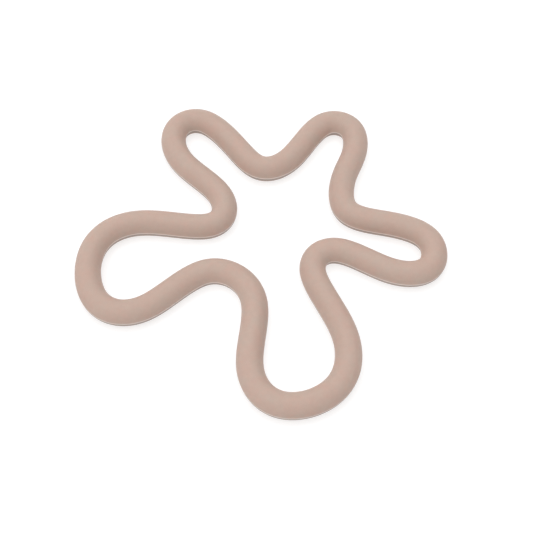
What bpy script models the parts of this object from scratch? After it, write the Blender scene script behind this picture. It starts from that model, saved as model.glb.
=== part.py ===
"""A teething ring: one closed, five-lobed loop of solid silicone with a round section, lying flat.

Units are metres. The loop lies in XY with +Z up. Its origin is the middle of its footprint, on the surface
that it rests on, so the soft round tube sits from z = 0 to its own thickness.
"""

import math

import bpy

# Driving dimensions
TUBE_RADIUS = 0.0045        # the grip and bite thickness, half of 9 mm
REST_STRIP_WIDTH = 0.0018   # the soft tube settles to a strip this wide where it touches the surface
OUTLINE_UNIT = 0.001        # the outline below is in millimetres

# Fineness of the solid
PROFILE_POINTS = 17         # round the section, the strip's two edges among them
STEPS_PER_SPAN = 6          # along the loop, between two points of the outline
SPLINE_ORDER = 4            # a cubic, so the bends run into each other with no visible joint

# The centre line, anticlockwise seen from above. These are the guide points of a smooth closed spline, which
# rounds off the polygon that they make: a lobe's points stand outside its bend, a bay's inside.
OUTLINE = {
    "upper right lobe": [(34.5, 41.5), (36.0, 56.5), (21.5, 60.5)],
    "top bay": [(11.5, 39.0), (-1.0, 34.0), (-8.5, 45.0)],
    "upper left lobe": [(-21.5, 62.0), (-35.0, 56.0), (-31.5, 38.0)],
    "left bay": [(-11.0, 25.0), (-14.0, 6.5)],
    "left lobe": [(-44.5, 16.0), (-62.5, 4.0), (-59.0, -23.5), (-39.0, -27.0)],
    "lower left bay": [(-19.5, -1.5), (2.5, -16.0)],
    "bottom lobe": [(-7.5, -45.5), (4.5, -62.5), (27.5, -55.0), (31.5, -32.5)],
    "lower right bay": [(12.5, -6.0), (25.5, 5.0)],
    "right lobe": [(44.5, -10.0), (60.5, -9.0), (61.5, 7.0), (45.5, 12.5)],
    "right bay": [(27.5, 14.5), (29.0, 33.0)],
}

SILICONE_COLOUR = (0.578, 0.434, 0.365, 1.0)
SILICONE_ROUGHNESS = 0.62


def clear_scene():
    """Removes every object, so that the ring stands alone."""
    for obj in list(bpy.data.objects):
        bpy.data.objects.remove(obj, do_unlink=True)


def silicone():
    """The warm beige of the matte food-grade silicone."""
    material = bpy.data.materials.new("silicone_beige")
    material.use_nodes = True
    shader = material.node_tree.nodes["Principled BSDF"]
    shader.inputs["Base Color"].default_value = SILICONE_COLOUR
    shader.inputs["Roughness"].default_value = SILICONE_ROUGHNESS
    shader.inputs["Metallic"].default_value = 0.0
    return material


def closed_spline(name, kind, points):
    """A curve object that holds one closed spline of this kind through or along the points."""
    curve = bpy.data.curves.new(name, "CURVE")
    curve.dimensions = "3D"
    spline = curve.splines.new(kind)
    spline.points.add(len(points) - 1)
    for point, (x, y) in zip(spline.points, points):
        point.co = (x, y, 0.0, 1.0)
    spline.use_cyclic_u = True
    obj = bpy.data.objects.new(name, curve)
    bpy.context.scene.collection.objects.link(obj)
    return obj


def section_points():
    """The tube's round section, cut off below by the strip that it rests on.

    It runs clockwise, so that the faces of a tube swept anticlockwise point outwards.
    """
    strip_half_angle = math.asin(REST_STRIP_WIDTH / 2 / TUBE_RADIUS)
    start = -math.pi / 2 - strip_half_angle
    step = (2 * math.pi - 2 * strip_half_angle) / (PROFILE_POINTS - 1)
    angles = [start - step * i for i in range(PROFILE_POINTS)]
    return [(TUBE_RADIUS * math.cos(a), TUBE_RADIUS * math.sin(a)) for a in angles]


def build_section():
    """The guide that the loop's tube is swept with. It isn't a piece of the ring."""
    section = closed_spline("tube_section", "POLY", section_points())
    section.hide_render = True
    section.display_type = "WIRE"
    return section


def build_ring(section):
    """The loop itself: the section swept along the outline, resting on z = 0."""
    points = [
        (x * OUTLINE_UNIT, y * OUTLINE_UNIT)
        for stretch in OUTLINE.values()
        for x, y in stretch
    ]
    ring = closed_spline("silicone_ring", "NURBS", points)
    ring.data.splines[0].order_u = SPLINE_ORDER
    ring.data.splines[0].use_smooth = True
    ring.data.resolution_u = STEPS_PER_SPAN
    ring.data.twist_mode = "Z_UP"
    ring.data.bevel_mode = "OBJECT"
    ring.data.bevel_object = section
    ring.data.materials.append(silicone())
    strip_depth = math.sqrt(TUBE_RADIUS**2 - (REST_STRIP_WIDTH / 2) ** 2)
    ring.location.z = strip_depth
    return ring


def main():
    clear_scene()
    build_ring(build_section())


main()
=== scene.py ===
"""The looks of a teething ring: a closed, five-lobed loop of soft matte silicone on a pale studio floor.

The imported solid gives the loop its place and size. This script makes the moulded surface round it, with
the strip that it rests on and the mould's parting line, and then the finish, the floor, the lights and
the camera. Lengths are in metres unless a name says otherwise.
"""

import logging
import math
from collections.abc import Callable, Iterator
from dataclasses import dataclass, field
from enum import Enum
from typing import Any

import bmesh
import bpy
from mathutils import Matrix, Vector


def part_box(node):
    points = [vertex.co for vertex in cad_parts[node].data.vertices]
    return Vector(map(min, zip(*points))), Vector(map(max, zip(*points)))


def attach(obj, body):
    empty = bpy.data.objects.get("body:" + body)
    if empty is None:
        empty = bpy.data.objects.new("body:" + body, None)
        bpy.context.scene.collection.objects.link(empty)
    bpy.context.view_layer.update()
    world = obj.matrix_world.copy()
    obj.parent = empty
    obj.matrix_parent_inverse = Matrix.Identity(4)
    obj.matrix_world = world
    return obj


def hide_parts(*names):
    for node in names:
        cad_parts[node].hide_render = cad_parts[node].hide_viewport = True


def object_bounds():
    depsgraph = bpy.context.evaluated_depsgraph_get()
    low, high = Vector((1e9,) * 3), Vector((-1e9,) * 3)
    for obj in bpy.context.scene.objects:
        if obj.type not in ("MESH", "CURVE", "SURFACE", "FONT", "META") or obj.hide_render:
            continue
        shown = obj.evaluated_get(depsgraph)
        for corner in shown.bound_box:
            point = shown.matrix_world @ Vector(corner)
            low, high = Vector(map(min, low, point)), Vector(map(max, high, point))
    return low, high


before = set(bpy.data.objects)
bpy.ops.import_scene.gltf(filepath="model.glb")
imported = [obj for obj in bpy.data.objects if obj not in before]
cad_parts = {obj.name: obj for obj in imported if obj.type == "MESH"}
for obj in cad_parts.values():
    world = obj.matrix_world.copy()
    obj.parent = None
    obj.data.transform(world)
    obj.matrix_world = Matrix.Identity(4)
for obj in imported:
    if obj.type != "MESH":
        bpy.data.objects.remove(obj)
CAD_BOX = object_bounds()

log = logging.getLogger("teething_ring")

MM = 0.001

Colour = tuple[float, float, float, float]
Point = tuple[float, float]


# Nodes written as sums


class Blend(Enum):
    """How one colour is laid over another."""

    COVER = "MIX"
    TINT = "MULTIPLY"


class Term:
    """A number that changes over the surface, so that node maths reads as a plain sum."""

    def __init__(self, bench: "NodeBench", socket: bpy.types.NodeSocket) -> None:
        """Wraps an output socket of the bench's tree."""
        self.bench = bench
        self.socket = socket

    def _joined(self, operation: str, *values: Any) -> "Term":
        """The outcome of one Math node.

        Args:
            operation: the Math node's operation.
            values: numbers or terms, in the order of the node's inputs.

        Returns:
            The term of the new node's output.
        """
        node = self.bench.node("ShaderNodeMath", {"operation": operation}, dict(enumerate(values)))
        return Term(self.bench, node.outputs[0])

    def __add__(self, other: "float | Term") -> "Term":
        """This plus other."""
        return self._joined("ADD", self, other)

    def __radd__(self, other: float) -> "Term":
        """A number plus this."""
        return self._joined("ADD", other, self)

    def __sub__(self, other: "float | Term") -> "Term":
        """This less other."""
        return self._joined("SUBTRACT", self, other)

    def __rsub__(self, other: float) -> "Term":
        """A number less this."""
        return self._joined("SUBTRACT", other, self)

    def __mul__(self, other: "float | Term") -> "Term":
        """This times other."""
        return self._joined("MULTIPLY", self, other)

    def __rmul__(self, other: float) -> "Term":
        """A number times this."""
        return self._joined("MULTIPLY", other, self)

    def __truediv__(self, other: "float | Term") -> "Term":
        """This divided by other."""
        return self._joined("DIVIDE", self, other)

    def __abs__(self) -> "Term":
        """This without its sign."""
        return self._joined("ABSOLUTE", self)

    def within(self, low: float, high: float) -> "Term":
        """This, held between two numbers."""
        return self._joined("MINIMUM", self._joined("MAXIMUM", self, low), high)


@dataclass
class NodeBench:
    """The node tree of a material or of the room, and the one way in which nodes are added to it.

    Attributes:
        tree: the node tree.
    """

    tree: bpy.types.NodeTree

    @classmethod
    def of_new_material(cls, name: str) -> "tuple[bpy.types.Material, NodeBench]":
        """Starts a material.

        Args:
            name: the material's name.

        Returns:
            The new material, and the bench of its empty tree.
        """
        material = bpy.data.materials.new(name)
        material.use_nodes = True
        material.node_tree.nodes.clear()
        return material, cls(material.node_tree)

    def node(
        self,
        kind: str,
        settings: dict[str, Any] | None = None,
        inputs: dict[str | int, Any] | None = None,
    ) -> bpy.types.Node:
        """Adds one node.

        Args:
            kind: the node's type, such as ShaderNodeTexNoise.
            settings: the node's own properties, set first because they decide which sockets it has.
            inputs: for each named or numbered input, a value, a term or the socket to link from.

        Returns:
            The new node.
        """
        made = self.tree.nodes.new(kind)
        for name, value in (settings or {}).items():
            setattr(made, name, value)
        for key, value in (inputs or {}).items():
            source = value.socket if isinstance(value, Term) else value
            if isinstance(source, bpy.types.NodeSocket):
                self.tree.links.new(source, made.inputs[key])
            else:
                made.inputs[key].default_value = source
        return made

    def place(self) -> bpy.types.NodeSocket:
        """Where a point of the surface is on the piece, in metres."""
        return self.node("ShaderNodeTexCoord").outputs["Object"]

    def height(self) -> Term:
        """How high a point of the surface is above the floor, in metres."""
        split = self.node("ShaderNodeSeparateXYZ", inputs={0: self.place()})
        return Term(self, split.outputs["Z"])

    def clouds(self, size: float, detail: float, roughness: float) -> Term:
        """Soft noise from 0 to 1.

        Args:
            size: how far apart the noise's lumps are, in metres.
            detail: how many finer layers are added.
            roughness: how strong each finer layer is.

        Returns:
            The noise.
        """
        noise = self.node(
            "ShaderNodeTexNoise",
            {"noise_dimensions": "3D"},
            {"Vector": self.place(), "Scale": 1 / size, "Detail": detail, "Roughness": roughness},
        )
        return Term(self, noise.outputs["Fac"])

    def blend(self, how: Blend, share: Any, under: Any, over: Any) -> bpy.types.NodeSocket:
        """Lays one colour over another.

        Args:
            how: the way in which they mix.
            share: how much of the upper colour shows, from 0 to 1.
            under: the lower colour.
            over: the upper colour.

        Returns:
            The socket of the mixed colour.
        """
        mix = self.node(
            "ShaderNodeMix",
            {"data_type": "RGBA", "blend_type": how.value},
            {"Factor": share, 6: under, 7: over},
        )
        return mix.outputs[2]

    def show(self, surface: bpy.types.NodeSocket) -> None:
        """Makes this shader the material's surface."""
        self.node("ShaderNodeOutputMaterial", inputs={"Surface": surface})


@dataclass(frozen=True)
class SiliconeFinish:
    """Pigmented food-grade silicone, as it leaves a mould with a fine blasted surface.

    Attributes:
        slot: the record's material slot; not used.
        body_colour: the dusty beige that the batch is dyed.
        pink_colour: the same dye where it is a little denser.
        flash_highlight_colour: a painted highlight, the paler colour laid along the parting line where its
            flash catches light.
        painted_shade_colour: painted shade, a darker, duller colour just under the parting line that stands
            in for the shade beneath it.
        shade_edge: how far below the line that painted shade is full.
        shade_depth: how far below the line the painted shade has faded out.
        flash_reach: how far from the line's middle its painted highlight and its gloss have faded out, in
            widths of the line.
        flash_highlight_cover: how much of that painted highlight shows on the line.
        cloud_size: the spacing of the soft clouds that the dye leaves.
        cloud_contrast: how sharply those clouds part the beige from the pink.
        fleck_size: the spacing of the fine mottling in the surface.
        fleck_tone: how much lighter the mottling makes the colour.
        fleck_relief: how high the mottling stands, against the grain.
        grain_size: the spacing of the mould's blasted grain.
        grain_depth: how deep that grain is.
        grain_tone: how much lighter the grain makes the colour.
        darkest_tone: what is left of the colour where there is neither.
        roughness: how matte the skin is, on average.
        grain_roughness: how much that changes with the grain.
        flash_gloss: how much less matte the parting line is.
    """

    slot: str = "silicone_beige"
    body_colour: Colour = (0.577, 0.444, 0.374, 1.0)
    pink_colour: Colour = (0.601, 0.422, 0.353, 1.0)
    flash_highlight_colour: Colour = (0.800, 0.695, 0.640, 1.0)
    painted_shade_colour: Colour = (0.350, 0.285, 0.250, 1.0)
    shade_edge: float = 0.00025
    shade_depth: float = 0.0050
    flash_reach: float = 0.75
    flash_highlight_cover: float = 0.9
    cloud_size: float = 0.0055
    cloud_contrast: float = 3.0
    fleck_size: float = 0.0016
    fleck_tone: float = 0.11
    fleck_relief: float = 0.8
    grain_size: float = 0.00028
    grain_depth: float = 0.000012
    grain_tone: float = 0.07
    darkest_tone: float = 0.91
    roughness: float = 0.66
    grain_roughness: float = 0.10
    flash_gloss: float = 0.08

    def make(self, equator: float, flash_width: float) -> bpy.types.Material:
        """Makes the material.

        Args:
            equator: the height of the mould's parting line.
            flash_width: how wide the line is.

        Returns:
            The material.
        """
        material, bench = NodeBench.of_new_material("silicone_beige_matte")
        clouds = bench.clouds(self.cloud_size, detail=4.0, roughness=0.75)
        pink = ((clouds - 0.5) * self.cloud_contrast + 0.5).within(0.0, 1.0)
        flecks = bench.clouds(self.fleck_size, detail=3.0, roughness=0.6)
        grain = bench.clouds(self.grain_size, detail=2.0, roughness=0.65)
        rise = bench.height() - equator
        # The line's painted highlight and gloss are full out to half of its reach, and gone at the whole of
        # it
        on_flash = ((1 - abs(rise) / (flash_width * self.flash_reach)) * 2).within(0.0, 1.0)
        # Painted shade: a darker colour under the parting line, full just below it and faded out further
        # down
        drop = -flash_width / 2 - rise
        reached = (drop / self.shade_edge).within(0.0, 1.0)
        unfaded = (1 - drop / self.shade_depth).within(0.0, 1.0)

        dyed = bench.blend(Blend.COVER, pink, self.body_colour, self.pink_colour)
        with_painted_shade = bench.blend(Blend.COVER, reached * unfaded, dyed, self.painted_shade_colour)
        tone = self.darkest_tone + flecks * self.fleck_tone + grain * self.grain_tone
        mottling = bench.node(
            "ShaderNodeCombineColor", inputs=dict.fromkeys(("Red", "Green", "Blue"), tone)
        )
        mottled = bench.blend(Blend.TINT, 1.0, with_painted_shade, mottling.outputs[0])
        # Painted highlight: the paler colour on the parting line stands in for the light that its flash
        # catches
        colour = bench.blend(
            Blend.COVER, on_flash * self.flash_highlight_cover, mottled, self.flash_highlight_colour
        )
        matte = self.roughness + (grain - 0.5) * self.grain_roughness - on_flash * self.flash_gloss

        bump = bench.node(
            "ShaderNodeBump",
            inputs={
                "Strength": 1.0,
                "Distance": self.grain_depth,
                "Height": grain + flecks * self.fleck_relief,
            },
        )
        skin = bench.node(
            "ShaderNodeBsdfPrincipled",
            inputs={
                "Base Color": colour,
                "Roughness": matte,
                "Metallic": 0.0,
                "IOR": 1.41,
                "Specular IOR Level": 0.35,
                "Subsurface Weight": 0.12,
                "Subsurface Radius": (1.0, 0.55, 0.4),
                "Subsurface Scale": 0.0012,
                "Sheen Weight": 0.25,
                "Sheen Roughness": 0.35,
                "Sheen Tint": (0.8, 0.8, 0.8, 1.0),
                "Normal": bump.outputs[0],
            },
        )
        bench.show(skin.outputs[0])
        return material


# Modelling helpers


def deselect_all() -> None:
    """Leaves nothing selected, so that the next operator acts only on what it is given."""
    bpy.ops.object.select_all(action="DESELECT")


def select_vertices(piece: bpy.types.Object, wanted: Callable[[Vector], bool]) -> int:
    """Selects vertices of the mesh in edit mode by their place, and nothing else.

    Args:
        piece: the mesh object, in edit mode.
        wanted: says of a place whether it is selected.

    Returns:
        How many vertices are selected.
    """
    mesh = bmesh.from_edit_mesh(piece.data)
    for face in mesh.faces:
        face.select_set(False)
    for edge in mesh.edges:
        edge.select_set(False)
    for vertex in mesh.verts:
        vertex.select_set(wanted(vertex.co))
    mesh.select_flush(True)
    bmesh.update_edit_mesh(piece.data)
    return sum(vertex.select for vertex in mesh.verts)


# The piece


@dataclass
class SiliconeLoop:
    """The ring's one piece: a solid round silicone rod, moulded as a closed loop of lobes and bays.

    Attributes:
        node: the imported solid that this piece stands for.
        outline: the centre line, anticlockwise, as the guide points of a smooth closed cubic spline, in mm.
        rod_radius: half the rod's thickness.
        steps_per_span: how many steps the sweep takes between two guide points.
        sides: how many sides the swept rod has.
        flash_width: how wide the mould's parting line is.
        flash_height: how far it stands out.
        flash_steps: the steps in which it rises, each as shares of its width and of its height.
        flash_ragged: how unevenly its crest was trimmed.
    """

    node: str = "silicone_ring"
    outline: dict[str, list[Point]] = field(
        default_factory=lambda: {
            "upper right lobe": [(34.5, 41.5), (36.0, 56.5), (21.5, 60.5)],
            "top bay": [(11.5, 39.0), (-1.0, 34.0), (-8.5, 45.0)],
            "upper left lobe": [(-21.5, 62.0), (-35.0, 56.0), (-31.5, 38.0)],
            "left bay": [(-11.0, 25.0), (-14.0, 6.5)],
            "left lobe": [(-44.5, 16.0), (-62.5, 4.0), (-59.0, -23.5), (-39.0, -27.0)],
            "lower left bay": [(-19.5, -1.5), (2.5, -16.0)],
            "bottom lobe": [(-7.5, -45.5), (4.5, -62.5), (27.5, -55.0), (31.5, -32.5)],
            "lower right bay": [(12.5, -6.0), (25.5, 5.0)],
            "right lobe": [(44.5, -10.0), (60.5, -9.0), (61.5, 7.0), (45.5, 12.5)],
            "right bay": [(27.5, 14.5), (29.0, 33.0)],
        }
    )
    rod_radius: float = 0.00454
    steps_per_span: int = 24
    sides: int = 64
    flash_width: float = 0.00048
    flash_height: float = 0.00005
    flash_steps: tuple[tuple[float, float], ...] = ((0.35, 0.6), (0.1, 0.4))
    flash_ragged: float = 0.000006

    def __post_init__(self) -> None:
        """Works out the heights of the floor and of the rod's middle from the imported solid."""
        lowest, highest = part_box(self.node)
        self.floor_height = lowest.z
        self.equator = highest.z - self.rod_radius

    def guide_points(self) -> Iterator[Vector]:
        """The outline's points, at the height of the rod's middle.

        Yields:
            Each point in turn, in metres.
        """
        for stretch in self.outline.values():
            for x, y in stretch:
                yield Vector((x * MM, y * MM, self.equator))

    def draw_centre_line(self) -> bpy.types.Object:
        """Draws the outline point by point, and closes it.

        Returns:
            The curve object.
        """
        first, *others = self.guide_points()
        bpy.ops.curve.primitive_nurbs_path_add(radius=MM, location=first, enter_editmode=True)
        line = bpy.context.object
        bpy.ops.curve.select_all(action="SELECT")
        line.data.splines[0].points[-1].select = False
        bpy.ops.curve.delete(type="VERT")
        bpy.ops.curve.select_all(action="SELECT")
        start = line.matrix_world @ line.data.splines[0].points[0].co.to_3d()
        bpy.ops.transform.translate(value=first - start)
        for point in others:
            bpy.ops.curve.vertex_add(location=point)
        bpy.ops.curve.select_all(action="SELECT")
        bpy.ops.curve.cyclic_toggle(direction="CYCLIC_U")
        bpy.ops.object.mode_set(mode="OBJECT")
        spline = line.data.splines[0]
        spline.use_endpoint_u = False
        spline.order_u = 4
        return line

    def sweep(self, line: bpy.types.Object) -> bpy.types.Object:
        """Gives the centre line its round rod, as a mesh.

        Args:
            line: the curve object, which becomes the piece.

        Returns:
            The mesh object, at the origin.
        """
        line.name = "silicone_loop"
        line.data.twist_mode = "Z_UP"
        line.data.resolution_u = self.steps_per_span
        line.data.splines[0].resolution_u = self.steps_per_span
        line.data.bevel_depth = self.rod_radius
        # A bevel has four sides, and two more for each step of its resolution
        line.data.bevel_resolution = self.sides // 2 - 2
        bpy.ops.object.convert(target="MESH")
        bpy.ops.object.transform_apply(location=True, rotation=True, scale=True)
        return bpy.context.object

    def settle_underside(self, loop: bpy.types.Object) -> None:
        """Flattens the lowest part of the rod into the strip that it rests on.

        Args:
            loop: the swept rod.
        """
        bpy.ops.object.mode_set(mode="EDIT")
        found = select_vertices(loop, lambda place: place.z < self.floor_height)
        bpy.ops.transform.resize(
            value=(1, 1, 0), center_override=(0, 0, self.floor_height), orient_type="GLOBAL"
        )
        bpy.ops.object.mode_set(mode="OBJECT")
        log.info("rest strip: %d vertices laid flat", found)

    def raise_parting_line(self, loop: bpy.types.Object) -> None:
        """Raises the fine line of flash along the rod's inner and outer flanks.

        Args:
            loop: the swept rod.
        """
        bpy.ops.object.mode_set(mode="EDIT")
        on_line = self.flash_width / 20
        select_vertices(loop, lambda place: abs(place.z - self.equator) < on_line)
        bpy.ops.mesh.bevel(offset=self.flash_width / 2, segments=4, profile=0.5, affect="EDGES")
        for share_of_width, share_of_height in self.flash_steps:
            reach = self.flash_width * share_of_width
            select_vertices(loop, lambda place: abs(place.z - self.equator) < reach)
            bpy.ops.transform.shrink_fatten(value=self.flash_height * share_of_height)
        bpy.ops.transform.vertex_random(offset=self.flash_ragged, seed=7)
        bpy.ops.object.mode_set(mode="OBJECT")

    def build(self) -> bpy.types.Object:
        """Models the loop.

        Returns:
            The finished mesh object.
        """
        deselect_all()
        loop = self.sweep(self.draw_centre_line())
        self.settle_underside(loop)
        self.raise_parting_line(loop)
        bpy.ops.object.shade_smooth()
        return loop

    def dress(self, loop: bpy.types.Object, finish: SiliconeFinish) -> None:
        """Gives the loop its finish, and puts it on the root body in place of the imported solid.

        Args:
            loop: the finished mesh object.
            finish: what it is made of.
        """
        loop.data.materials.clear()
        loop.data.materials.append(finish.make(self.equator, self.flash_width))
        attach(loop, "root")
        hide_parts(self.node)


# The studio


@dataclass(frozen=True)
class FloorFinish:
    """A pale, matte floor, lit up to white.

    Attributes:
        colour: the floor's own colour.
        glow: how brightly it is lit from below, as a light table is.
    """

    colour: Colour = (0.40, 0.40, 0.40, 1.0)
    glow: float = 0.70

    def make(self) -> bpy.types.Material:
        """Makes the material.

        Returns:
            The material.
        """
        material, bench = NodeBench.of_new_material("floor_white")
        matte = bench.node(
            "ShaderNodeBsdfPrincipled",
            inputs={
                "Base Color": self.colour,
                "Roughness": 0.9,
                "Specular IOR Level": 0.1,
                "Emission Color": (1.0, 1.0, 1.0, 1.0),
                "Emission Strength": self.glow,
            },
        )
        bench.show(matte.outputs[0])
        return material


@dataclass(frozen=True)
class Softbox:
    """One soft, white, rectangular lamp.

    Attributes:
        name: the lamp's name.
        place: where it hangs, from the middle of the ring.
        size: its width and height.
        power: its power in watts.
    """

    name: str
    place: tuple[float, float, float]
    size: tuple[float, float]
    power: float

    def hang(self, aim: Vector) -> None:
        """Hangs the lamp, out of the camera's sight.

        Args:
            aim: what it is turned towards.
        """
        place = aim + Vector(self.place)
        turned = (aim - place).to_track_quat("-Z", "Y").to_euler()
        bpy.ops.object.light_add(type="AREA", location=place, rotation=turned)
        lamp = bpy.context.object
        lamp.name = self.name
        lamp.data.shape = "RECTANGLE"
        lamp.data.size, lamp.data.size_y = self.size
        lamp.data.energy = self.power
        lamp.visible_camera = False


@dataclass
class Studio:
    """The floor, the lights and the camera round the ring.

    Attributes:
        floor_size: the floor's side.
        floor_gap: how far the floor lies below the ring, so that the two don't share a plane.
        sky: the colour of the pale room round the floor.
        sky_strength: how brightly the room lights the ring.
        backdrop_strength: how bright the room looks behind the floor.
        lamps: the soft lamps.
        camera_elevation: the camera's angle above the horizon, in degrees.
        camera_distance: how far the camera is from what it looks at.
        camera_aim: what it looks at, from the middle of the ring.
        camera_reach: the nearest and the farthest that the camera sees.
        lens: the lens's focal length, in mm.
        sensor: the width of the camera's sensor, in mm.
    """

    floor_size: float = 6.0
    floor_gap: float = 0.00002
    sky: Colour = (1.0, 1.0, 1.0, 1.0)
    sky_strength: float = 0.27
    backdrop_strength: float = 0.85
    lamps: tuple[Softbox, ...] = (
        Softbox("overhead_softbox", (0.0, 0.0, 2.4), (2.16, 2.16), 38.0),
        Softbox("left_softbox", (-1.49, -0.67, 1.75), (2.16, 2.16), 13.2),
        Softbox("back_softbox", (-0.12, 2.26, 0.82), (2.16, 2.16), 10.9),
    )
    camera_elevation: float = 58.0
    camera_distance: float = 0.39676
    camera_aim: tuple[float, float] = (0.00164, -0.00575)
    camera_reach: tuple[float, float] = (0.01, 20.0)
    lens: float = 77.21
    sensor: float = 36.0

    def lay_floor(self, height: float) -> None:
        """Lays the floor just below the ring.

        Args:
            height: the height that the ring rests at.
        """
        place = (0, 0, height - self.floor_gap)
        bpy.ops.mesh.primitive_plane_add(size=self.floor_size, location=place)
        floor = bpy.context.object
        floor.name = "studio_floor"
        floor.data.materials.append(FloorFinish().make())

    def light(self, middle: Vector) -> None:
        """Fills the room with pale light, hangs the lamps, and has the view show colours as they are.

        Args:
            middle: the middle of the ring.
        """
        world = bpy.data.worlds.new("pale_room")
        world.use_nodes = True
        world.node_tree.nodes.clear()
        bench = NodeBench(world.node_tree)
        fill, backdrop = (
            bench.node("ShaderNodeBackground", inputs={"Color": self.sky, "Strength": strength})
            for strength in (self.sky_strength, self.backdrop_strength)
        )
        seen = bench.node("ShaderNodeLightPath").outputs["Is Camera Ray"]
        room = bench.node(
            "ShaderNodeMixShader", inputs={0: seen, 1: fill.outputs[0], 2: backdrop.outputs[0]}
        )
        bench.node("ShaderNodeOutputWorld", inputs={"Surface": room.outputs[0]})
        bpy.context.scene.world = world
        for lamp in self.lamps:
            lamp.hang(middle)
        bpy.context.scene.view_settings.view_transform = "Standard"

    def set_camera(self, middle: Vector) -> None:
        """Stands the camera at its angle, not tilted to either side.

        Args:
            middle: the middle of the ring.
        """
        aim = middle + Vector((*self.camera_aim, 0.0))
        elevation = math.radians(self.camera_elevation)
        back = Vector((0.0, -math.cos(elevation), math.sin(elevation)))
        bpy.ops.object.camera_add(
            location=aim + back * self.camera_distance,
            rotation=(math.pi / 2 - elevation, 0.0, 0.0),
        )
        camera = bpy.context.object
        camera.name = "studio_camera"
        camera.data.sensor_width = self.sensor
        camera.data.lens = self.lens
        camera.data.clip_start, camera.data.clip_end = self.camera_reach
        bpy.context.scene.camera = camera


def main() -> None:
    """Builds the studio round the ring, and the ring itself."""
    logging.basicConfig(level=logging.INFO, format="%(name)s: %(message)s")
    ring = SiliconeLoop()
    middle = Vector((*((CAD_BOX[0] + CAD_BOX[1]) / 2).xy, ring.equator))
    studio = Studio()
    studio.set_camera(middle)
    studio.light(middle)
    studio.lay_floor(ring.floor_height)
    loop = ring.build()
    ring.dress(loop, SiliconeFinish())
    log.info("%s: %d faces, rides on root", loop.name, len(loop.data.polygons))


if __name__ == "__main__":
    main()
